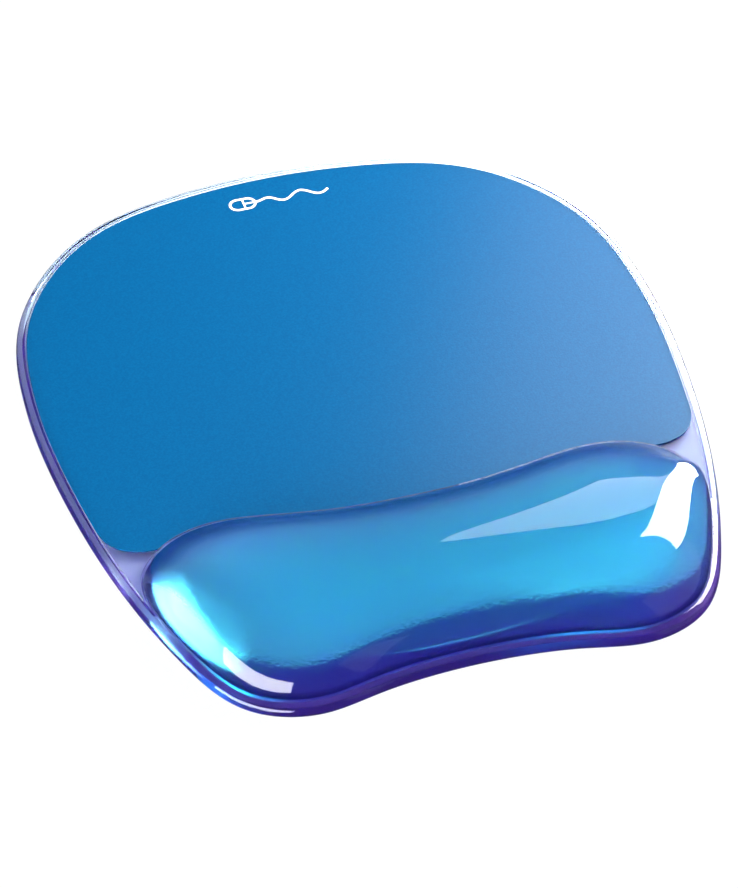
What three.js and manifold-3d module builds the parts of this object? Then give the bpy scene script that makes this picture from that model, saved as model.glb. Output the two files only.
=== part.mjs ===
// Mouse pad with an integral gel wrist rest.
// Millimetres, +Z up. The origin is the centre of the footprint, on the surface the pad lies on.
// +X is the user's right and +Y points away from the user.

import * as THREE from 'three';
import { mergeVertices } from 'three/addons/utils/BufferGeometryUtils.js';
import Module from 'manifold-3d';

const wasm = await Module();
wasm.setup();

// ---------------------------------------------------------------- driving dimensions

// Heights above the table, from the underside up
const BACKING_TOP = 0.6;
const RECESS_FLOOR = 3.1;
const ADHESIVE_TOP = 3.25;
const FILM_TOP = 3.75;
const PRINT_TOP = 3.83;
const PLATE_TOP = 4.5;
const BACKING_FILM_TOP = 4.8;
const DOME_TOP = 21;

// Clearances and wall thicknesses
const SKIN_WALL = 0.8;
const SKIN_TO_GEL = 0.3;
const CORE_INSET = 1.6;
const RIM_WIDTH = 3.0;
const BACKING_INSET = 1.6;
const RECESS_TO_DOME = 0.5;
const FILM_CLEARANCE = 0.4;

// Rounded edge of the plate: a small radius at the bottom and a large one at the top
const EDGE_RADIUS_LOW = 1.0;
const EDGE_RADIUS_HIGH = 2.8;
const EDGE_SEGMENTS = 3;

// Right half of each closed spline, back centre to front centre; the left half mirrors it
const PLATE_HALF = [
  [0, 118.5], [32, 115.5], [59, 109], [80, 93], [97.5, 66], [101, 32], [101, 6],
  [97, -32], [90.5, -63], [83.5, -85], [73, -112], [49, -120], [31, -113.5], [0, -110.8],
];
const DOME_HALF = [
  [0, -42.6], [21.5, -42.3], [43, -38.3], [59, -35.6], [75.5, -39.5], [88, -53.5],
  [86.4, -68.6], [77.8, -93.4], [68.8, -110.7], [48.2, -117.2], [30, -110.6], [0, -108.4],
];

// The dome rises from its footprint to a crown line that runs from side to side
const CROWN_Y = -78;
const CROWN_SHRINK = 0.73;
const FRONT_PROFILE = { power: 3.2, root: 1.7 };
const BACK_PROFILE = { power: 2.0, root: 1.05 };
// The profile turns from front to back as the edge's outward normal turns through this range of y
const PROFILE_TURN = [-0.7, 1];

// Lower corners of the mousing film
const CORNER_START_Y = -27;
const CORNER_PULL = [93.4, -42.4];
const CORNER_END_X = 77;
const CORNER_STEPS = 8;
const LOWER_EDGE_STEP = 5;

// Printed pictogram: a small mouse and its cable
const PRINT_Y = 103.5;
const PRINT_MOUSE = { x: -11.5, length: 9, width: 5.8, wall: 0.8, line: 0.6, buttons: 3.4 };
const PRINT_CABLE = { length: 24, width: 0.8, swing: 1.6, waves: 2, settle: 0.25 };

// Mesh fineness
const STEPS_PER_SPAN = 4;
const FINE_STEPS = 24;
const DOME_COLUMNS = 30;
const DOME_RINGS = 9;
const RING_CROWDING = 1.5;
const MOUSE_SEGMENTS = 24;
const CABLE_SEGMENTS = 32;

// How far a cutting body reaches past the surface it cuts
const CUT_REACH = 2;

// Points closer than the first are welded; a point nearer the middle plane than the second lies on it
const WELD_DISTANCE = 1e-4;
const ON_MIDDLE = 1e-6;

// ---------------------------------------------------------------- outlines

// Closed uniform cubic B-spline through a control loop
function spline(control, steps) {
  const count = control.length;
  const loop = [];
  for (let i = 0; i < count; i++) {
    const four = [count - 1, 0, 1, 2].map((k) => control[(i + k) % count]);
    for (let j = 0; j < steps; j++) {
      const t = j / steps;
      const weight = [
        (1 - t) ** 3 / 6,
        (3 * t ** 3 - 6 * t ** 2 + 4) / 6,
        (-3 * t ** 3 + 3 * t ** 2 + 3 * t + 1) / 6,
        t ** 3 / 6,
      ];
      const x = four.reduce((sum, p, k) => sum + weight[k] * p[0], 0);
      const y = four.reduce((sum, p, k) => sum + weight[k] * p[1], 0);
      loop.push(new THREE.Vector2(x, y));
    }
  }
  return loop;
}

// The mirrored loop runs counter-clockwise: back centre, left side, front centre, right side
function mirrored(half) {
  const left = half.map(([x, y]) => [-x, y]);
  const right = half.slice(1, -1).reverse();
  return left.concat(right);
}

// Outward unit normal at point i of a counter-clockwise loop
function outward(loop, i) {
  const before = loop[(i + loop.length - 1) % loop.length];
  const after = loop[(i + 1) % loop.length];
  return new THREE.Vector2(after.y - before.y, before.x - after.x).normalize();
}

// Loop moved inwards by a distance; a negative distance moves it outwards
function inset(loop, distance) {
  return loop.map((p, i) => p.clone().addScaledVector(outward(loop, i), -distance));
}

const plateOutline = spline(mirrored(PLATE_HALF), STEPS_PER_SPAN);
const domeFine = spline(mirrored(DOME_HALF), FINE_STEPS);

// The height y of a loop's back or front half at a given distance |x| from the middle
function edgeAt(loop, side) {
  const widest = loop.reduce((a, b) => (b.x > a.x ? b : a));
  const half = loop.filter((p) => p.x >= 0 && (side === 'back' ? p.y >= widest.y : p.y <= widest.y));
  half.sort((a, b) => a.x - b.x);
  return (x) => {
    const reach = Math.min(Math.abs(x), widest.x);
    let k = 1;
    while (k < half.length - 1 && half[k].x < reach) k++;
    const span = half[k].x - half[k - 1].x;
    const t = span > 0 ? (reach - half[k - 1].x) / span : 0;
    return THREE.MathUtils.lerp(half[k - 1].y, half[k].y, THREE.MathUtils.clamp(t, 0, 1));
  };
}

// Mousing film: follows the rim, turns two round corners, then follows the back of the dome
function filmOutline() {
  const upper = inset(plateOutline, RIM_WIDTH + FILM_CLEARANCE);
  const domeEdge = inset(domeFine, -RECESS_TO_DOME - FILM_CLEARANCE);
  const lowerY = edgeAt(domeEdge, 'back');
  const right = upper.filter((p) => p.x > 0 && p.y > CORNER_START_Y);
  right.sort((a, b) => a.y - b.y);
  const corner = new THREE.QuadraticBezierCurve(
    new THREE.Vector2(CORNER_END_X, lowerY(CORNER_END_X)),
    new THREE.Vector2(...CORNER_PULL),
    right[0],
  ).getPoints(CORNER_STEPS).slice(0, -1);
  const lower = [];
  for (let x = 0; x < CORNER_END_X - LOWER_EDGE_STEP / 2; x += LOWER_EDGE_STEP) {
    lower.push(new THREE.Vector2(x, lowerY(x)));
  }
  const half = [...lower, ...corner, ...right];
  const mirror = half.slice(1).reverse().map((p) => new THREE.Vector2(-p.x, p.y));
  const top = upper.filter((p) => Math.abs(p.x) < ON_MIDDLE && p.y > 0);
  return [...half, ...top, ...mirror];
}

// ---------------------------------------------------------------- solids

function geometryFrom(points, faces) {
  const geometry = new THREE.BufferGeometry();
  const flat = points.flatMap((p) => [p.x, p.y, p.z]);
  geometry.setAttribute('position', new THREE.Float32BufferAttribute(flat, 3));
  geometry.setIndex(faces.flat());
  return geometry;
}

// Closed body through a stack of loops with equal point counts, capped at both ends
function stack(levels) {
  const count = levels[0].loop.length;
  const points = levels.flatMap(({ loop, z }) => loop.map((p) => new THREE.Vector3(p.x, p.y, z)));
  const faces = [];
  for (let k = 0; k + 1 < levels.length; k++) {
    for (let i = 0; i < count; i++) {
      const a = k * count + i;
      const b = k * count + ((i + 1) % count);
      faces.push([a, b, b + count], [a, b + count, a + count]);
    }
  }
  const last = (levels.length - 1) * count;
  for (const [a, b, c] of THREE.ShapeUtils.triangulateShape(levels[0].loop, [])) {
    faces.push([c, b, a]);
  }
  for (const [a, b, c] of THREE.ShapeUtils.triangulateShape(levels[levels.length - 1].loop, [])) {
    faces.push([last + a, last + b, last + c]);
  }
  return geometryFrom(points, faces);
}

function slab(loop, bottom, top) {
  return stack([{ loop, z: bottom }, { loop, z: top }]);
}

function toManifold(geometry) {
  const bare = geometry.index ? geometry.clone() : geometry;
  bare.deleteAttribute('normal');
  bare.deleteAttribute('uv');
  const merged = mergeVertices(bare, WELD_DISTANCE);
  const mesh = new wasm.Mesh({
    numProp: 3,
    vertProperties: new Float32Array(merged.attributes.position.array),
    triVerts: new Uint32Array(merged.index.array),
  });
  return new wasm.Manifold(mesh);
}

function fromManifold(solid) {
  const mesh = solid.getMesh();
  const geometry = new THREE.BufferGeometry();
  geometry.setAttribute('position', new THREE.BufferAttribute(mesh.vertProperties, 3));
  geometry.setIndex(new THREE.BufferAttribute(mesh.triVerts, 1));
  return geometry;
}

// The dome's footprint, pulled in by a distance, as a loop whose front and back points pair up in x.
// It runs along the front from left to right, then back along the rear edge.
const LOOP_COUNT = 2 * DOME_COLUMNS;

function column(c) {
  return c <= DOME_COLUMNS ? c : LOOP_COUNT - c;
}

function domeRim(distance) {
  const footprint = inset(domeFine, distance);
  const widest = Math.max(...footprint.map((p) => p.x));
  const front = edgeAt(footprint, 'front');
  const back = edgeAt(footprint, 'back');
  const rim = [];
  for (let c = 0; c < LOOP_COUNT; c++) {
    const x = widest * Math.sin(Math.PI * (column(c) / DOME_COLUMNS - 0.5));
    rim.push(new THREE.Vector2(x, c <= DOME_COLUMNS ? front(x) : back(x)));
  }
  return rim;
}

// Dome surface over a rim: rings that climb and close on the crown line
function domeSurface(rim, bottom, top, firstIndex) {
  const points = [];
  for (let k = 0; k < DOME_RINGS; k++) {
    const s = (k / DOME_RINGS) ** RING_CROWDING;
    for (let c = 0; c < LOOP_COUNT; c++) {
      const backness = THREE.MathUtils.smoothstep(outward(rim, c).y, ...PROFILE_TURN);
      const power = THREE.MathUtils.lerp(FRONT_PROFILE.power, BACK_PROFILE.power, backness);
      const root = THREE.MathUtils.lerp(FRONT_PROFILE.root, BACK_PROFILE.root, backness);
      const rise = (1 - (1 - s) ** power) ** (1 / root);
      const crown = new THREE.Vector2(rim[c].x * CROWN_SHRINK, CROWN_Y);
      const p = rim[c].clone().lerp(crown, s);
      points.push(new THREE.Vector3(p.x, p.y, bottom + (top - bottom) * rise));
    }
  }
  for (let i = 0; i <= DOME_COLUMNS; i++) {
    points.push(new THREE.Vector3(rim[i].x * CROWN_SHRINK, CROWN_Y, top));
  }
  const at = (k, c) => {
    const wrapped = c % LOOP_COUNT;
    const inRing = k < DOME_RINGS ? wrapped : column(wrapped);
    return firstIndex + k * LOOP_COUNT + inRing;
  };
  const faces = [];
  for (let k = 0; k < DOME_RINGS; k++) {
    for (let c = 0; c < LOOP_COUNT; c++) {
      faces.push([at(k, c), at(k, c + 1), at(k + 1, c + 1)]);
      faces.push([at(k, c), at(k + 1, c + 1), at(k + 1, c)]);
    }
  }
  return { points, faces };
}

// Solid dome: the surface closed by a flat underside
function domeSolid(rim, bottom, top) {
  const { points, faces } = domeSurface(rim, bottom, top, 0);
  for (const [a, b, c] of THREE.ShapeUtils.triangulateShape(rim, [])) faces.push([c, b, a]);
  return geometryFrom(points, faces);
}

// Thin dome shell, open underneath
function domeShell(wall, bottom, top) {
  const outer = domeSurface(domeRim(0), bottom, top, 0);
  const first = outer.points.length;
  const inner = domeSurface(domeRim(wall), bottom, top - wall, first);
  const faces = [...outer.faces, ...inner.faces.map(([a, b, c]) => [c, b, a])];
  for (let c = 0; c < LOOP_COUNT; c++) {
    const d = (c + 1) % LOOP_COUNT;
    faces.push([c, first + d, d], [c, first + c, first + d]);
  }
  return geometryFrom([...outer.points, ...inner.points], faces);
}

// Plate with the rounded edge, and the recess that the mousing film lies in
function basePad() {
  const levels = [];
  for (let i = 0; i <= EDGE_SEGMENTS; i++) {
    const turn = Math.PI / 2 * i / EDGE_SEGMENTS;
    const distance = EDGE_RADIUS_LOW * (1 - Math.sin(turn));
    const z = BACKING_TOP + EDGE_RADIUS_LOW * (1 - Math.cos(turn));
    levels.push({ loop: inset(plateOutline, distance), z });
  }
  for (let i = 0; i <= EDGE_SEGMENTS; i++) {
    const turn = Math.PI / 2 * i / EDGE_SEGMENTS;
    const distance = EDGE_RADIUS_HIGH * (1 - Math.cos(turn));
    const z = PLATE_TOP - EDGE_RADIUS_HIGH * (1 - Math.sin(turn));
    levels.push({ loop: inset(plateOutline, distance), z });
  }
  const plate = toManifold(stack(levels));
  const above = PLATE_TOP + CUT_REACH;
  const well = toManifold(slab(inset(plateOutline, RIM_WIDTH), RECESS_FLOOR, above));
  const domeZone = inset(spline(mirrored(DOME_HALF), STEPS_PER_SPAN), -RECESS_TO_DOME);
  const keep = toManifold(slab(domeZone, RECESS_FLOOR - CUT_REACH, above + CUT_REACH));
  return fromManifold(plate.subtract(well.subtract(keep)));
}

// Printed layer from x0 to x1 and y0 to y1
function printedBar(x0, x1, y0, y1) {
  const corners = [[x0, y0], [x1, y0], [x1, y1], [x0, y1]].map(([x, y]) => new THREE.Vector2(x, y));
  return toManifold(slab(corners, FILM_TOP, PRINT_TOP));
}

// Outline of the mouse: two half circles joined by straight sides
function mouseOutline(grow) {
  const { x, length, width } = PRINT_MOUSE;
  const radius = width / 2 + grow;
  const straight = (length - width) / 2;
  const loop = [];
  for (let i = 0; i < MOUSE_SEGMENTS; i++) {
    const turn = (i + 0.5) / MOUSE_SEGMENTS * Math.PI * 2;
    const side = Math.cos(turn) > 0 ? straight : -straight;
    loop.push(new THREE.Vector2(x + side + radius * Math.cos(turn), PRINT_Y + radius * Math.sin(turn)));
  }
  return loop;
}

// Mouse pictogram: a ring shaped like a mouse, the lines between its two buttons, and a waving cable
function surfacePrint() {
  const { x, length, width, wall, line, buttons } = PRINT_MOUSE;
  const cavity = slab(mouseOutline(-wall), FILM_TOP - CUT_REACH, PRINT_TOP + CUT_REACH);
  const ring = toManifold(slab(mouseOutline(0), FILM_TOP, PRINT_TOP)).subtract(toManifold(cavity));
  const nose = x + length / 2 - wall / 2;
  const across = nose - buttons;
  const reach = (width - wall) / 2;
  const crossLine = printedBar(across - line, across, PRINT_Y - reach, PRINT_Y + reach);
  const buttonLine = printedBar(across - line, nose, PRINT_Y - line / 2, PRINT_Y + line / 2);
  const middle = [];
  for (let i = 0; i <= CABLE_SEGMENTS; i++) {
    const t = i / CABLE_SEGMENTS;
    const grown = Math.min(1, t / PRINT_CABLE.settle);
    const swing = PRINT_CABLE.swing * grown * Math.sin(t * Math.PI * 2 * PRINT_CABLE.waves);
    middle.push(new THREE.Vector2(nose + PRINT_CABLE.length * t, PRINT_Y + swing));
  }
  const edge = (i, side) => {
    const a = middle[Math.max(i - 1, 0)];
    const b = middle[Math.min(i + 1, CABLE_SEGMENTS)];
    const normal = new THREE.Vector2(a.y - b.y, b.x - a.x).normalize();
    return middle[i].clone().addScaledVector(normal, side * PRINT_CABLE.width / 2);
  };
  const below = middle.map((_, i) => edge(i, -1));
  const over = middle.map((_, i) => edge(i, 1)).reverse();
  const cable = toManifold(slab([...below, ...over], FILM_TOP, PRINT_TOP));
  return fromManifold(ring.add(cable).add(crossLine).add(buttonLine));
}

// ---------------------------------------------------------------- assembly

const film = filmOutline();
const coreRim = domeRim(CORE_INSET);

const PARTS = [
  {
    name: 'non_skid_backing',
    geometry: slab(inset(plateOutline, BACKING_INSET), 0, BACKING_TOP),
    look: { color: 0xc9cfe6, roughness: 0.7, metalness: 0 },
  },
  {
    name: 'base_pad',
    geometry: basePad(),
    look: { color: 0x8f96cc, roughness: 0.12, metalness: 0 },
  },
  {
    name: 'surface_adhesive',
    geometry: slab(inset(film, FILM_CLEARANCE), RECESS_FLOOR, ADHESIVE_TOP),
    look: { color: 0xdfe6ee, roughness: 0.5, metalness: 0 },
  },
  {
    name: 'mousing_surface',
    geometry: slab(film, ADHESIVE_TOP, FILM_TOP),
    look: { color: 0x0071b8, roughness: 0.55, metalness: 0 },
  },
  {
    name: 'surface_print',
    geometry: surfacePrint(),
    look: { color: 0xf7f9fb, roughness: 0.6, metalness: 0 },
  },
  {
    name: 'gel_backing_film',
    geometry: slab(coreRim, PLATE_TOP, BACKING_FILM_TOP),
    look: { color: 0xbcd0ee, roughness: 0.2, metalness: 0 },
  },
  {
    name: 'wrist_gel',
    geometry: domeSolid(coreRim, BACKING_FILM_TOP, DOME_TOP - SKIN_WALL - SKIN_TO_GEL),
    look: { color: 0x2f86cc, roughness: 0.08, metalness: 0 },
  },
  {
    name: 'wrist_skin',
    geometry: domeShell(SKIN_WALL, PLATE_TOP, DOME_TOP),
    look: { color: 0x5a8fe0, roughness: 0.06, metalness: 0 },
  },
];

const pad = new THREE.Group();
pad.name = 'gel_mouse_pad';
for (const { name, geometry, look } of PARTS) {
  const mesh = new THREE.Mesh(geometry, new THREE.MeshStandardMaterial(look));
  mesh.name = name;
  pad.add(mesh);
}

export default pad;
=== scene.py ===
"""Looks of the gel mouse pad: fine meshes, clear and gel materials, studio light and camera."""

import math

import bmesh
import bpy
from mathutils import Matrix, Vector


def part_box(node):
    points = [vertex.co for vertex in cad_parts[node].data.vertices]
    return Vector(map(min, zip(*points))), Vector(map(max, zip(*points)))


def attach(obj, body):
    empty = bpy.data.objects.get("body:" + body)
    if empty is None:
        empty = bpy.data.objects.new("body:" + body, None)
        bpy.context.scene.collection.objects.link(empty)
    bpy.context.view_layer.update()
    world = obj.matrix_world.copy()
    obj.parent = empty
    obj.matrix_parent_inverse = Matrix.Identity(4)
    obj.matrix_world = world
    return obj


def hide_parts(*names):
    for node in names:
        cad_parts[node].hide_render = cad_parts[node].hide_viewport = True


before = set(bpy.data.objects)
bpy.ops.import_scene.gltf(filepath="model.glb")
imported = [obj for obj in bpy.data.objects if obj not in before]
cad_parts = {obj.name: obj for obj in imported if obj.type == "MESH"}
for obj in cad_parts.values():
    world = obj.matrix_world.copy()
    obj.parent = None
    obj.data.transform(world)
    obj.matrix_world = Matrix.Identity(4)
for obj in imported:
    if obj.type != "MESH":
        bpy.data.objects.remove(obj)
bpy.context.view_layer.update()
MM = 0.001
TINY = 1e-6

# ---------------------------------------------------------------- sizes, millimetres

BACKING_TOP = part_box("non_skid_backing")[1].z / MM
RECESS_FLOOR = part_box("surface_adhesive")[0].z / MM
ADHESIVE_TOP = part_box("surface_adhesive")[1].z / MM
FILM_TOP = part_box("mousing_surface")[1].z / MM
PLATE_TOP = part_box("base_pad")[1].z / MM
BACKING_FILM_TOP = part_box("gel_backing_film")[1].z / MM
DOME_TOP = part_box("wrist_skin")[1].z / MM
PRINT_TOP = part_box("surface_print")[1].z / MM

SKIN_WALL = 0.8
SKIN_TO_GEL = 0.3
CORE_INSET = 1.6
RIM_WIDTH = 3.0
BACKING_INSET = 1.6
RECESS_TO_DOME = 0.5
EDGE_RADIUS_LOW = 1.0
EDGE_RADIUS_HIGH = 2.8
FILM_CLEARANCE = 0.3

# Right half of each closed spline, back centre to front centre; the left half mirrors it
PLATE_HALF = [
    (0, 118.5), (32, 115.5), (59, 109), (80, 93), (97.5, 66), (101, 32), (101, 6),
    (97, -32), (90.5, -63), (83.5, -85), (73, -112), (49, -120), (31, -113.5), (0, -110.8),
]
DOME_HALF = [
    (0, -42.6), (21.5, -42.3), (43, -38.3), (59, -35.6), (75.5, -39.5), (88, -53.5),
    (86.4, -68.6), (77.8, -93.4), (68.8, -110.7), (48.2, -117.2), (30, -110.6), (0, -108.4),
]
CROWN_Y = -78
CROWN_SHRINK = 0.73
CROWN_BEND = 0.065
FRONT_PROFILE = (3.2, 1.7)
BACK_PROFILE = (2.0, 1.05)
# The profile turns from front to back as the edge's outward normal turns through this range of y
PROFILE_TURN = (-0.7, 1)

SEAT_DEPTH = 0.04
SEAT_MARGIN = 0.04
SKIN_LIFT = 0.02
LAYER_GAP = 0.02
FINE_GAP = 0.01
FILM_GAP = 0.04
FILM_SOFT_EDGE = 0.15
CUT_REACH = 2
NEAR_SEAT = 0.01
NEAR_UNDERSIDE = 0.05
# A face counts as level when its unit normal's z is past this
LEVEL_NORMAL = 0.9

# The film under the gel carries painted shade from its rim inwards, over 4 mm at the front and 18 mm at
# the back, darkening the band round the foot of the gel
FOOT_SHADE_RINGS = 24
FOOT_SHADE_REACH = 0.6
FOOT_SHADE_FRONT = 4
FOOT_SHADE_BACK = 18
FOOT_SHADE_TURN = (-0.2, 0.8)

# Edge of the grip layer, as (inset, height) pairs, and the rings that carry the painted shade along its
# front rim
GRIP_EDGE = [(0.3, 0), (0.05, 0.1), (0, 0.3)]
RIM_RINGS = 12
RIM_SHADE_WIDTH = 9
RIM_SHADE_Y = (-88, -62)
RIM_SHADE_FADE = (0.55, 1)

CORNER_START_Y = -27
CORNER_PULL = (93.4, -42.4)
CORNER_END_X = 77
CORNER_STEPS = 24
LOWER_EDGE_STEP = 1.5

STEPS = 12
FINE_STEPS = 48
DOME_COLUMNS = 96
DOME_RINGS = 44
RING_CROWDING = 1.6
EDGE_SEGMENTS = 6
MOUSE_SEGMENTS = 64
CABLE_SEGMENTS = 96

PRINT_Y = 103.5
MOUSE_X = -11.5
MOUSE_LENGTH = 9
MOUSE_WIDTH = 5.8
MOUSE_WALL = 0.8
MOUSE_LINE = 0.6
MOUSE_BUTTONS = 3.4
CABLE_LENGTH = 24
CABLE_WIDTH = 0.8
CABLE_SWING = 1.6
CABLE_WAVES = 2
CABLE_SETTLE = 0.25


# ---------------------------------------------------------------- outlines

def spline(control, steps):
    """Closed uniform cubic B-spline through a control loop."""
    count = len(control)
    loop = []
    for i in range(count):
        four = [control[(i + k) % count] for k in (-1, 0, 1, 2)]
        for j in range(steps):
            t = j / steps
            weight = (
                (1 - t) ** 3 / 6,
                (3 * t ** 3 - 6 * t ** 2 + 4) / 6,
                (-3 * t ** 3 + 3 * t ** 2 + 3 * t + 1) / 6,
                t ** 3 / 6,
            )
            loop.append((
                sum(w * p[0] for w, p in zip(weight, four)),
                sum(w * p[1] for w, p in zip(weight, four)),
            ))
    return loop


def mirrored(half):
    """Counter-clockwise loop: back centre, left side, front centre, right side."""
    left = [(-x, y) for x, y in half]
    right = list(reversed(half[1:-1]))
    return left + right


def outward(loop, i):
    """Outward unit normal at point i of a counter-clockwise loop."""
    before = loop[i - 1]
    after = loop[(i + 1) % len(loop)]
    dx, dy = after[0] - before[0], after[1] - before[1]
    length = math.hypot(dx, dy)
    return dy / length, -dx / length


def inset(loop, distance):
    """The loop moved inwards; a negative distance moves it outwards."""
    moved = []
    for i, (x, y) in enumerate(loop):
        nx, ny = outward(loop, i)
        moved.append((x - distance * nx, y - distance * ny))
    return moved


def edge_at(loop, side):
    """y of the loop's back or front half as a function of x."""
    widest = max(loop)
    if side == "back":
        half = [p for p in loop if p[0] >= 0 and p[1] >= widest[1]]
    else:
        half = [p for p in loop if p[0] >= 0 and p[1] <= widest[1]]
    half.sort()

    def y_at(x):
        reach = min(abs(x), widest[0])
        k = 1
        while k < len(half) - 1 and half[k][0] < reach:
            k += 1
        (x0, y0), (x1, y1) = half[k - 1], half[k]
        t = (reach - x0) / (x1 - x0) if x1 > x0 else 0
        return y0 + (y1 - y0) * min(max(t, 0), 1)

    return y_at


PLATE_OUTLINE = spline(mirrored(PLATE_HALF), STEPS)
DOME_FINE = spline(mirrored(DOME_HALF), FINE_STEPS)


def film_outline():
    """Follows the rim, turns two round corners, then follows the back of the dome."""
    upper = inset(PLATE_OUTLINE, RIM_WIDTH + FILM_CLEARANCE)
    lower_y = edge_at(inset(DOME_FINE, -RECESS_TO_DOME - FILM_CLEARANCE), "back")
    right = sorted((p for p in upper if p[0] > TINY and p[1] > CORNER_START_Y), key=lambda p: p[1])
    widest = max(range(len(right)), key=lambda i: right[i][0])
    right = right[:widest] + sorted(right[widest:], key=lambda p: -p[0])
    start = (CORNER_END_X, lower_y(CORNER_END_X))
    corner = []
    for i in range(CORNER_STEPS):
        t = i / CORNER_STEPS
        corner.append(tuple(
            (1 - t) ** 2 * start[k] + 2 * t * (1 - t) * CORNER_PULL[k] + t ** 2 * right[0][k]
            for k in (0, 1)
        ))
    lower_count = int((CORNER_END_X - 1) / LOWER_EDGE_STEP)
    lower = [(i * LOWER_EDGE_STEP, lower_y(i * LOWER_EDGE_STEP)) for i in range(lower_count)]
    half = lower + corner + right
    top = [p for p in upper if abs(p[0]) < TINY and p[1] > 0]
    return half + top + [(-x, y) for x, y in reversed(half[1:])]


# ---------------------------------------------------------------- mesh helpers

def make_object(name, points, faces, smooth=True):
    mesh = bpy.data.meshes.new(name)
    mesh.from_pydata([(x * MM, y * MM, z * MM) for x, y, z in points], [], faces)
    mesh.validate()
    obj = bpy.data.objects.new(name, mesh)
    bpy.context.scene.collection.objects.link(obj)
    for polygon in mesh.polygons:
        polygon.use_smooth = smooth
    return obj


def stack(name, levels):
    """Closed body through loops of equal length, each (loop, z), capped at both ends."""
    count = len(levels[0][0])
    points = [(x, y, z) for loop, z in levels for x, y in loop]
    faces = [tuple(reversed(range(count)))]
    for k in range(len(levels) - 1):
        for i in range(count):
            a = k * count + i
            b = k * count + (i + 1) % count
            faces.append((a, b, b + count, a + count))
    last = (len(levels) - 1) * count
    faces.append(tuple(range(last, last + count)))
    return make_object(name, points, faces)


def sharpen(obj, degrees=30, weighted=True):
    """Marks creases as sharp; the weighting keeps flat faces flat in the smooth shading."""
    bm = bmesh.new()
    bm.from_mesh(obj.data)
    for edge in bm.edges:
        edge.smooth = edge.calc_face_angle(0) < math.radians(degrees)
    bm.to_mesh(obj.data)
    bm.free()
    if not weighted:
        return
    modifier = obj.modifiers.new("weighted", "WEIGHTED_NORMAL")
    modifier.keep_sharp = True
    modifier.weight = 80
    apply_modifiers(obj)


def apply_modifiers(obj):
    depsgraph = bpy.context.evaluated_depsgraph_get()
    mesh = bpy.data.meshes.new_from_object(obj.evaluated_get(depsgraph))
    old = obj.data
    obj.modifiers.clear()
    obj.data = mesh
    mesh.name = obj.name
    bpy.data.meshes.remove(old)


def subtract(obj, cutter):
    modifier = obj.modifiers.new("cut", "BOOLEAN")
    modifier.operation = "DIFFERENCE"
    modifier.solver = "EXACT"
    modifier.object = cutter
    apply_modifiers(obj)
    bpy.data.objects.remove(cutter)


# ---------------------------------------------------------------- dome

LOOP_COUNT = 2 * DOME_COLUMNS


def column(c):
    return c if c <= DOME_COLUMNS else LOOP_COUNT - c


def dome_rim(distance):
    """Footprint of the dome pulled in by a distance; its front and back points pair up in x."""
    footprint = inset(DOME_FINE, distance)
    widest = max(footprint)[0]
    front = edge_at(footprint, "front")
    back = edge_at(footprint, "back")
    rim = []
    for c in range(LOOP_COUNT):
        x = widest * math.sin(math.pi * (column(c) / DOME_COLUMNS - 0.5))
        rim.append((x, front(x) if c <= DOME_COLUMNS else back(x)))
    return rim


def smoothstep(value, low, high):
    t = min(max((value - low) / (high - low), 0), 1)
    return t * t * (3 - 2 * t)


def crown_y(rim, c):
    """The crown line bends back a little at its two ends, so that the surface doesn't fold there."""
    return CROWN_Y + CROWN_BEND * max(0, rim[column(c)][1] - CROWN_Y)


def dome_points(rim, bottom, top):
    points = []
    for k in range(DOME_RINGS):
        s = (k / DOME_RINGS) ** RING_CROWDING
        for c in range(LOOP_COUNT):
            backness = smoothstep(outward(rim, c)[1], *PROFILE_TURN)
            power = FRONT_PROFILE[0] + (BACK_PROFILE[0] - FRONT_PROFILE[0]) * backness
            root = FRONT_PROFILE[1] + (BACK_PROFILE[1] - FRONT_PROFILE[1]) * backness
            rise = (1 - (1 - s) ** power) ** (1 / root)
            x = rim[c][0] * (1 - s + s * CROWN_SHRINK)
            y = rim[c][1] * (1 - s) + crown_y(rim, c) * s
            points.append((x, y, bottom + (top - bottom) * rise))
    for i in range(DOME_COLUMNS + 1):
        points.append((rim[i][0] * CROWN_SHRINK, crown_y(rim, i), top))
    return points


def dome_faces(first=0, flip=False):
    def at(k, c):
        wrapped = c % LOOP_COUNT
        in_ring = wrapped if k < DOME_RINGS else column(wrapped)
        return first + k * LOOP_COUNT + in_ring

    faces = []
    for k in range(DOME_RINGS):
        for c in range(LOOP_COUNT):
            face = (at(k, c), at(k, c + 1), at(k + 1, c + 1), at(k + 1, c))
            faces.append(tuple(reversed(face)) if flip else face)
    return faces


# ---------------------------------------------------------------- materials

SKIN_IOR = 1.46
FACE_INDEX = "optical_index"
# Colour layer that holds the painted shade on the backing film and the grip layer
PAINTED_SHADE_LAYER = "painted_edge_shade"
# Painted shade: colour that darkens the film under the gel round its rim
FOOT_SHADE_COLOUR = (0.08, 0.14, 0.45)
# Painted shade: colour that darkens the grip layer along its front rim
RIM_PAINTED_SHADE = (0.25, 0.1, 0.3)


def new_material(name):
    material = bpy.data.materials.new(name)
    material.use_nodes = True
    tree = material.node_tree
    return material, tree, tree.nodes["Principled BSDF"]


def bump(tree, shader, scale, strength, distance):
    """Fine surface relief from noise, in object space."""
    coords = tree.nodes.new("ShaderNodeTexCoord")
    noise = tree.nodes.new("ShaderNodeTexNoise")
    noise.inputs["Scale"].default_value = scale
    noise.inputs["Detail"].default_value = 3
    node = tree.nodes.new("ShaderNodeBump")
    node.inputs["Strength"].default_value = strength
    node.inputs["Distance"].default_value = distance
    tree.links.new(coords.outputs["Object"], noise.inputs["Vector"])
    tree.links.new(noise.outputs["Fac"], node.inputs["Height"])
    tree.links.new(node.outputs["Normal"], shader.inputs["Normal"])


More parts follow.
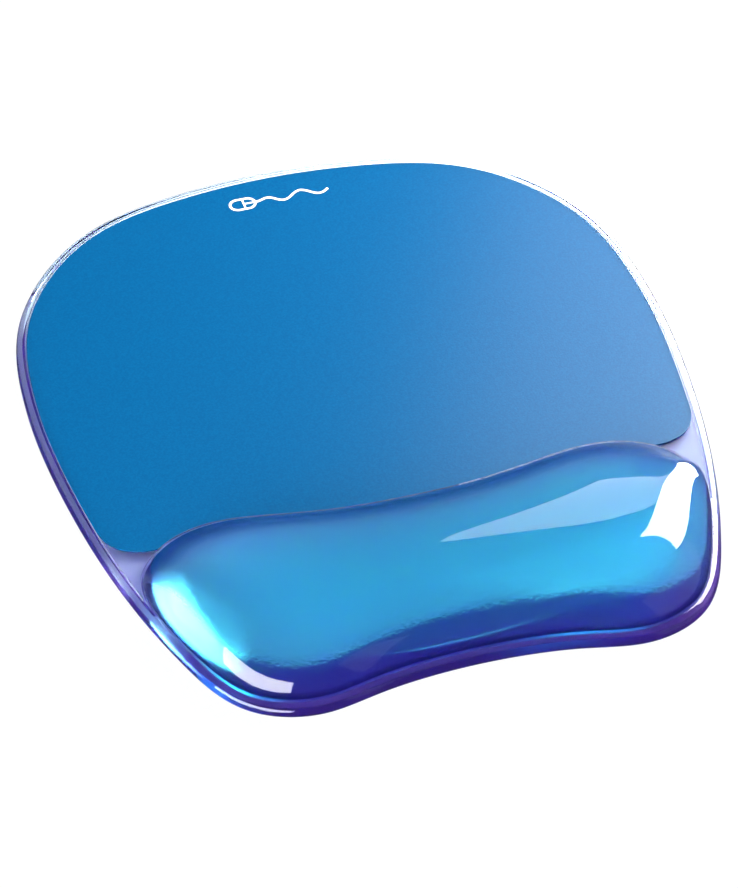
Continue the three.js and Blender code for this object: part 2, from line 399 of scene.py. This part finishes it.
def clear_material(name, tint, volume, ior=None):
    """See-through plastic. Without its own index, each face brings one that set_interfaces stored."""
    material, tree, shader = new_material(name)
    shader.inputs["Base Color"].default_value = (*tint, 1)
    shader.inputs["Transmission Weight"].default_value = 1
    shader.inputs["Roughness"].default_value = 0
    if ior:
        shader.inputs["IOR"].default_value = ior
    else:
        index_from_faces(tree, shader)
    colour, density = volume
    absorb = tree.nodes.new("ShaderNodeVolumeAbsorption")
    absorb.inputs["Color"].default_value = (*colour, 1)
    absorb.inputs["Density"].default_value = density
    tree.links.new(absorb.outputs["Volume"], tree.nodes["Material Output"].inputs["Volume"])
    return material


def index_from_faces(tree, shader):
    attribute = tree.nodes.new("ShaderNodeAttribute")
    attribute.attribute_name = FACE_INDEX
    tree.links.new(attribute.outputs["Fac"], shader.inputs["IOR"])


def set_interfaces(obj, meets_air):
    """Gives each face the plastic's index where it meets air, and 1 where it is bonded."""
    layer = obj.data.attributes.new(FACE_INDEX, "FLOAT", "FACE")
    for polygon in obj.data.polygons:
        layer.data[polygon.index].value = SKIN_IOR if meets_air(polygon) else 1.0


def painted_foot_shade_material():
    """Film under the gel: clear in the middle, darkened with painted shade round the edge."""
    material, tree, shader = new_material("backing_film_clear")
    shader.inputs["Transmission Weight"].default_value = 1
    shader.inputs["Roughness"].default_value = 0
    shader.inputs["IOR"].default_value = 1
    # The base colour takes the painted shade stored on the film's vertices
    attribute = tree.nodes.new("ShaderNodeAttribute")
    attribute.attribute_name = PAINTED_SHADE_LAYER
    tree.links.new(attribute.outputs["Color"], shader.inputs["Base Color"])
    return material


def frosted_grip_material():
    """Clear grip layer with a fine frosted texture in a violet tint."""
    material, tree, clear = new_material("grip_clear")
    clear.inputs["Transmission Weight"].default_value = 1
    clear.inputs["Roughness"].default_value = 0.1
    index_from_faces(tree, clear)
    # The clear part's colour takes the painted shade along the front rim
    shade = tree.nodes.new("ShaderNodeAttribute")
    shade.attribute_name = PAINTED_SHADE_LAYER
    tree.links.new(shade.outputs["Color"], clear.inputs["Base Color"])
    frost = tree.nodes.new("ShaderNodeBsdfPrincipled")
    frost.inputs["Base Color"].default_value = (0.39, 0.065, 0.9, 1)
    frost.inputs["Roughness"].default_value = 0.6
    frost.inputs["Specular IOR Level"].default_value = 0
    mix = tree.nodes.new("ShaderNodeMixShader")
    mix.inputs["Fac"].default_value = 0.13
    tree.links.new(clear.outputs["BSDF"], mix.inputs[1])
    tree.links.new(frost.outputs["BSDF"], mix.inputs[2])
    tree.links.new(mix.outputs["Shader"], tree.nodes["Material Output"].inputs["Surface"])
    bump(tree, clear, scale=900, strength=0.4, distance=0.00005)
    return material


def blue_film_material():
    material, tree, shader = new_material("blue_film")
    coords = tree.nodes.new("ShaderNodeTexCoord")
    noise = tree.nodes.new("ShaderNodeTexNoise")
    noise.inputs["Scale"].default_value = 1400
    noise.inputs["Detail"].default_value = 2
    ramp = tree.nodes.new("ShaderNodeValToRGB")
    ramp.color_ramp.elements[0].position = 0.35
    ramp.color_ramp.elements[0].color = (0.0, 0.062, 0.168, 1)
    ramp.color_ramp.elements[1].position = 0.7
    ramp.color_ramp.elements[1].color = (0.0, 0.077, 0.196, 1)
    tree.links.new(coords.outputs["Object"], noise.inputs["Vector"])
    tree.links.new(noise.outputs["Fac"], ramp.inputs["Fac"])
    tree.links.new(ramp.outputs["Color"], shader.inputs["Base Color"])
    shader.inputs["Roughness"].default_value = 0.25
    shader.inputs["Specular IOR Level"].default_value = 0.2
    bump(tree, shader, scale=1800, strength=0.5, distance=0.00006)
    return material


def adhesive_material():
    material, tree, shader = new_material("adhesive")
    shader.inputs["Base Color"].default_value = (0.02, 0.16, 0.45, 1)
    bump(tree, shader, scale=900, strength=0.3, distance=0.00005)
    return material


def ink_material():
    material, tree, shader = new_material("white_ink")
    shader.inputs["Base Color"].default_value = (0.93, 0.95, 0.96, 1)
    shader.inputs["Roughness"].default_value = 0.5
    bump(tree, shader, scale=2500, strength=0.3, distance=0.00003)
    return material


skin_clear = clear_material("skin_clear", (1, 1, 1), volume=((0.32, 0.2, 0.873), 60))
plate_clear = clear_material("plate_clear", (0.82, 0.97, 1.0), volume=((0.3, 0.35, 0.9), 25))
gel_blue = clear_material("gel_blue", (1, 1, 1), ior=1.0, volume=((0.28, 0.92, 0.88), 100))
grip_clear = frosted_grip_material()


# ---------------------------------------------------------------- pieces

def finish_piece(obj, slot, *nodes):
    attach(obj, "root")
    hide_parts(*nodes)


def build_skin():
    outer = dome_points(dome_rim(0), PLATE_TOP, DOME_TOP)
    inner = dome_points(dome_rim(SKIN_WALL), PLATE_TOP, DOME_TOP - SKIN_WALL)
    first = len(outer)
    faces = dome_faces() + dome_faces(first, flip=True)
    for c in range(LOOP_COUNT):
        d = (c + 1) % LOOP_COUNT
        faces.append((c, first + c, first + d, d))
    points = [(x, y, z + (SKIN_LIFT if z <= PLATE_TOP + TINY else 0)) for x, y, z in outer + inner]
    skin = make_object("gel_skin", points, faces)
    skin.data.materials.append(skin_clear)
    outer_faces = DOME_RINGS * LOOP_COUNT
    set_interfaces(skin, lambda polygon: polygon.index < outer_faces)
    sharpen(skin, 50, weighted=False)
    finish_piece(skin, "clear_skin", "wrist_skin")


def build_gel():
    rim = dome_rim(CORE_INSET)
    points = dome_points(rim, BACKING_FILM_TOP, DOME_TOP - SKIN_WALL - SKIN_TO_GEL)
    faces = dome_faces() + [tuple(reversed(range(LOOP_COUNT)))]
    gel = make_object("gel_core", points, faces)
    gel.data.materials.append(gel_blue)
    sharpen(gel, 50, weighted=False)
    finish_piece(gel, "blue_gel", "wrist_gel")


def build_backing_film():
    """Flat film under the gel; rings near its rim carry painted shade."""
    rim = dome_rim(CORE_INSET)
    low, high = PLATE_TOP + FILM_GAP, BACKING_FILM_TOP - FILM_GAP
    rings = []
    for k in range(FOOT_SHADE_RINGS + 1):
        s = FOOT_SHADE_REACH * k / FOOT_SHADE_RINGS
        rings.append([(x * (1 - s + s * CROWN_SHRINK), y * (1 - s) + CROWN_Y * s) for x, y in rim])
    levels = [(ring, low) for ring in reversed(rings)] + [(ring, high) for ring in rings]
    film = stack("gel_base_film", levels)
    # Painted shade: darkest at the rim, fading inwards, over a wider band at the back
    tint = film.data.attributes.new(PAINTED_SHADE_LAYER, "FLOAT_COLOR", "POINT")
    for i, vertex in enumerate(film.data.vertices):
        c = i % LOOP_COUNT
        depth = math.hypot(vertex.co.x / MM - rim[c][0], vertex.co.y / MM - rim[c][1])
        fade = FOOT_SHADE_FRONT + (FOOT_SHADE_BACK - FOOT_SHADE_FRONT) * smoothstep(outward(rim, c)[1], *FOOT_SHADE_TURN)
        clear = smoothstep(depth, 0, fade)
        tint.data[i].color = (*[dark + (1 - dark) * clear for dark in FOOT_SHADE_COLOUR], 1)
    film.data.materials.append(painted_foot_shade_material())
    sharpen(film)
    finish_piece(film, "clear_backing_film", "gel_backing_film")


def rounded_edge():
    """(inset, z) pairs of the plate's rounded edge, bottom to top."""
    turns = [math.pi / 2 * i / EDGE_SEGMENTS for i in range(EDGE_SEGMENTS + 1)]
    low, high = EDGE_RADIUS_LOW, EDGE_RADIUS_HIGH
    lower = [(low * (1 - math.sin(a)), BACKING_TOP + low * (1 - math.cos(a))) for a in turns]
    upper = [(high * (1 - math.cos(a)), PLATE_TOP - high * (1 - math.sin(a))) for a in turns]
    return lower + upper


def build_base(film):
    base = stack("clear_base", [(inset(PLATE_OUTLINE, distance), z) for distance, z in rounded_edge()])
    above = PLATE_TOP + CUT_REACH
    recess = inset(PLATE_OUTLINE, RIM_WIDTH)
    well = stack("well", [(recess, RECESS_FLOOR), (recess, above)])
    keep_loop = inset(spline(mirrored(DOME_HALF), STEPS), -RECESS_TO_DOME)
    keep = stack("keep", [(keep_loop, RECESS_FLOOR - 1), (keep_loop, above + 1)])
    subtract(well, keep)
    subtract(base, well)
    seat = dome_rim(-SEAT_MARGIN)
    dome_seat = stack("dome_seat", [(seat, PLATE_TOP - SEAT_DEPTH), (seat, above)])
    subtract(base, dome_seat)
    film_seat = stack("film_seat", [(film, RECESS_FLOOR - SEAT_DEPTH), (film, above)])
    subtract(base, film_seat)
    base.data.materials.clear()
    base.data.materials.append(plate_clear)
    seats = (PLATE_TOP - SEAT_DEPTH, RECESS_FLOOR - SEAT_DEPTH)

    def meets_air(polygon):
        z = polygon.center.z / MM
        near_seat = min(abs(z - level) for level in seats) < NEAR_SEAT
        on_seat = polygon.normal.z > LEVEL_NORMAL and near_seat
        underneath = polygon.normal.z < -LEVEL_NORMAL and z < BACKING_TOP + NEAR_UNDERSIDE
        return not on_seat and not underneath

    set_interfaces(base, meets_air)
    return base


def build_film(outline):
    soft = FILM_SOFT_EDGE
    film = stack("mousing_film", [
        (outline, ADHESIVE_TOP + FINE_GAP),
        (outline, FILM_TOP - soft),
        (inset(outline, soft * 0.3), FILM_TOP - soft * 0.3),
        (inset(outline, soft), FILM_TOP),
    ])
    film.data.materials.append(blue_film_material())
    sharpen(film)
    finish_piece(film, "blue_film", "mousing_surface")


def build_adhesive(outline):
    loop = inset(outline, FILM_CLEARANCE)
    layer = stack("film_adhesive", [(loop, RECESS_FLOOR + LAYER_GAP), (loop, ADHESIVE_TOP - FINE_GAP)])
    layer.data.materials.append(adhesive_material())
    sharpen(layer)
    finish_piece(layer, "clear_adhesive", "surface_adhesive")


def build_grip():
    loop = inset(PLATE_OUTLINE, BACKING_INSET)
    top = BACKING_TOP - LAYER_GAP
    levels = [(inset(loop, distance), z) for distance, z in GRIP_EDGE]
    levels.extend((inset(loop, RIM_SHADE_WIDTH * k / RIM_RINGS), top) for k in range(RIM_RINGS + 1))
    layer = stack("grip_layer", levels)
    # Painted shade: darkest at the rim and towards the front, fading inwards and towards the back
    shade = layer.data.attributes.new(PAINTED_SHADE_LAYER, "FLOAT_COLOR", "POINT")
    for i, vertex in enumerate(layer.data.vertices):
        ring = i // len(loop) - len(GRIP_EDGE)
        depth = ring / RIM_RINGS
        clear = max(smoothstep(depth, *RIM_SHADE_FADE), smoothstep(vertex.co.y / MM, *RIM_SHADE_Y))
        if ring < 0:
            clear = 1
        shade.data[i].color = (*[dark + (1 - dark) * clear for dark in RIM_PAINTED_SHADE], 1)
    layer.data.materials.append(grip_clear)
    set_interfaces(layer, lambda polygon: polygon.normal.z < LEVEL_NORMAL)
    sharpen(layer)
    finish_piece(layer, "non_skid_rubber", "non_skid_backing")


def ribbon(left, right, closed=False):
    """Flat printed band between two rows of points, as points and faces."""
    count = len(left)
    points = []
    for z in (FILM_TOP + FINE_GAP, PRINT_TOP):
        points.extend((x, y, z) for x, y in left + right)
    top = 2 * count
    faces = []
    for i in range(count if closed else count - 1):
        j = (i + 1) % count
        a, b, c, d = i, j, count + j, count + i
        faces.append((d, c, b, a))
        faces.append((a + top, b + top, c + top, d + top))
        faces.append((a, b, b + top, a + top))
        faces.append((c, d, d + top, c + top))
    if not closed:
        for near, far in ((0, count), (2 * count - 1, count - 1)):
            faces.append((far, near, near + top, far + top))
    return points, faces


def printed_bar(x0, x1, y0, y1):
    return ribbon([(x0, y0), (x1, y0)], [(x0, y1), (x1, y1)])


def mouse_outline(grow):
    """Two half circles joined by straight sides."""
    radius = MOUSE_WIDTH / 2 + grow
    straight = (MOUSE_LENGTH - MOUSE_WIDTH) / 2
    loop = []
    for i in range(MOUSE_SEGMENTS):
        turn = (i + 0.5) / MOUSE_SEGMENTS * 2 * math.pi
        side = straight if math.cos(turn) > 0 else -straight
        loop.append((MOUSE_X + side + radius * math.cos(turn), PRINT_Y + radius * math.sin(turn)))
    return loop


def mouse_cable(start):
    middle = []
    for i in range(CABLE_SEGMENTS + 1):
        t = i / CABLE_SEGMENTS
        swing = CABLE_SWING * min(1, t / CABLE_SETTLE) * math.sin(t * 2 * math.pi * CABLE_WAVES)
        middle.append((start + CABLE_LENGTH * t, PRINT_Y + swing))
    half = CABLE_WIDTH / 2
    left, right = [], []
    for i, (x, y) in enumerate(middle):
        x0, y0 = middle[max(i - 1, 0)]
        x1, y1 = middle[min(i + 1, CABLE_SEGMENTS)]
        length = math.hypot(x1 - x0, y1 - y0)
        nx, ny = (y0 - y1) / length, (x1 - x0) / length
        left.append((x - nx * half, y - ny * half))
        right.append((x + nx * half, y + ny * half))
    return ribbon(left, right)


def build_print():
    nose = MOUSE_X + MOUSE_LENGTH / 2 - MOUSE_WALL / 2
    across = nose - MOUSE_BUTTONS
    reach = MOUSE_WIDTH / 2 - MOUSE_WALL
    half = MOUSE_LINE / 2
    bands = [
        ribbon(mouse_outline(0), mouse_outline(-MOUSE_WALL), closed=True),
        printed_bar(across - MOUSE_LINE, across, PRINT_Y - reach, PRINT_Y + reach),
        printed_bar(across, nose - half, PRINT_Y - half, PRINT_Y + half),
        mouse_cable(nose + MOUSE_WALL / 2),
    ]
    points, faces = [], []
    for band_points, band_faces in bands:
        first = len(points)
        points.extend(band_points)
        faces.extend(tuple(first + i for i in face) for face in band_faces)
    mark = make_object("mouse_pictogram", points, faces, smooth=False)
    mark.data.materials.append(ink_material())
    finish_piece(mark, "white_ink", "surface_print")


outline = film_outline()
build_skin()
build_gel()
build_backing_film()
base = build_base(outline)
build_film(outline)
build_adhesive(outline)
build_grip()
build_print()
sharpen(base)
finish_piece(base, "clear_polyurethane", "base_pad")

# ---------------------------------------------------------------- stage, light, camera

# Metres
FLOOR_HALF = 3
FLOOR_Z = -0.00015

floor_mesh = bpy.data.meshes.new("floor")
corners = [(x * FLOOR_HALF, y * FLOOR_HALF) for x, y in ((-1, -1), (1, -1), (1, 1), (-1, 1))]
floor_mesh.from_pydata([(x, y, 0) for x, y in corners], [], [(0, 1, 2, 3)])
floor = bpy.data.objects.new("floor", floor_mesh)
floor.location.z = FLOOR_Z
bpy.context.scene.collection.objects.link(floor)
floor_material, floor_tree, floor_shader = new_material("floor")
floor_shader.inputs["Base Color"].default_value = (0.9, 0.9, 0.9, 1)
floor_shader.inputs["Roughness"].default_value = 0.9
floor_mesh.materials.append(floor_material)
# The camera sees the floor as almost pure white, which also hides the contact shadow.
# All other rays meet the plain pale material above.
whitening = floor_tree.nodes.new("ShaderNodeEmission")
whitening.inputs["Color"].default_value = (1, 1, 1, 1)
seen_directly = floor_tree.nodes.new("ShaderNodeLightPath")
share = floor_tree.nodes.new("ShaderNodeMath")
share.operation = "MULTIPLY"
share.inputs[1].default_value = 0.97
floor_mix = floor_tree.nodes.new("ShaderNodeMixShader")
floor_tree.links.new(seen_directly.outputs["Is Camera Ray"], share.inputs[0])
floor_tree.links.new(share.outputs["Value"], floor_mix.inputs["Fac"])
floor_tree.links.new(floor_shader.outputs["BSDF"], floor_mix.inputs[1])
floor_tree.links.new(whitening.outputs["Emission"], floor_mix.inputs[2])
floor_tree.links.new(floor_mix.outputs["Shader"], floor_tree.nodes["Material Output"].inputs["Surface"])
# Reflections don't show the floor
floor.visible_glossy = False

scene = bpy.context.scene
world = bpy.data.worlds.new("studio")
scene.world = world
world.use_nodes = True
world_tree = world.node_tree
ambient = world_tree.nodes["Background"]
ambient.inputs["Color"].default_value = (0.8, 0.75, 1, 1)
ambient.inputs["Strength"].default_value = 0.14
backdrop = world_tree.nodes.new("ShaderNodeBackground")
backdrop.inputs["Color"].default_value = (1, 1, 1, 1)
backdrop.inputs["Strength"].default_value = 1.0
# The camera sees the white backdrop; the faintly violet ambient only lights the pad
light_path = world_tree.nodes.new("ShaderNodeLightPath")
world_mix = world_tree.nodes.new("ShaderNodeMixShader")
world_tree.links.new(light_path.outputs["Is Camera Ray"], world_mix.inputs["Fac"])
world_tree.links.new(ambient.outputs["Background"], world_mix.inputs[1])
world_tree.links.new(backdrop.outputs["Background"], world_mix.inputs[2])
world_tree.links.new(world_mix.outputs["Shader"], world_tree.nodes["World Output"].inputs["Surface"])


def softbox(name, aim, direction, distance, size, radiance, tilt=0):
    """Rectangular light; direction is its azimuth (from +Y towards +X) and elevation seen from aim."""
    azimuth, elevation = direction
    width, height = size
    turn, rise = math.radians(azimuth), math.radians(elevation)
    towards = Vector((math.sin(turn) * math.cos(rise), math.cos(turn) * math.cos(rise), math.sin(rise)))
    data = bpy.data.lights.new(name, "AREA")
    data.shape = "RECTANGLE"
    data.size = width
    data.size_y = height
    data.energy = radiance * width * height * math.pi
    light = bpy.data.objects.new(name, data)
    light.location = Vector(aim) + towards * distance
    light.rotation_euler = towards.to_track_quat("Z", "Y").to_euler()
    light.rotation_euler.rotate_axis("Z", math.radians(tilt))
    scene.collection.objects.link(light)


softbox(
    "key_right_back", aim=(0.07, -0.08, 0.02), direction=(48, 22), distance=0.7,
    size=(0.48, 0.95), radiance=24, tilt=18,
)
softbox(
    "left_front", aim=(-0.07, -0.1, 0.01), direction=(-126, 12), distance=0.8,
    size=(1.25, 0.45), radiance=19,
)
softbox(
    "back_soft", aim=(0.09, 0, 0), direction=(30, 42), distance=0.5,
    size=(0.25, 0.25), radiance=4,
)
softbox(
    "right_front_card", aim=(0, -0.1, 0.01), direction=(115, 15), distance=0.9,
    size=(1.3, 0.9), radiance=0.6,
)

CAMERA_AZIMUTH = math.radians(-16.73)
CAMERA_ELEVATION = math.radians(43.09)
CAMERA_DISTANCE = 1.3
CAMERA_AIM = Vector((-0.0039, -0.01254, 0))
back = Vector((
    math.sin(CAMERA_AZIMUTH) * math.cos(CAMERA_ELEVATION),
    -math.cos(CAMERA_AZIMUTH) * math.cos(CAMERA_ELEVATION),
    math.sin(CAMERA_ELEVATION),
))
camera_data = bpy.data.cameras.new("camera")
camera = bpy.data.objects.new("camera", camera_data)
camera.location = CAMERA_AIM + back * CAMERA_DISTANCE
camera.rotation_euler = back.to_track_quat("Z", "Y").to_euler()
camera_data.lens = 173.4
camera_data.sensor_width = 36
camera_data.sensor_fit = "AUTO"
scene.collection.objects.link(camera)
scene.camera = camera

scene.view_settings.view_transform = "Standard"
scene.cycles.max_bounces = 32
scene.cycles.transmission_bounces = 32
scene.cycles.diffuse_bounces = 4
scene.cycles.glossy_bounces = 8
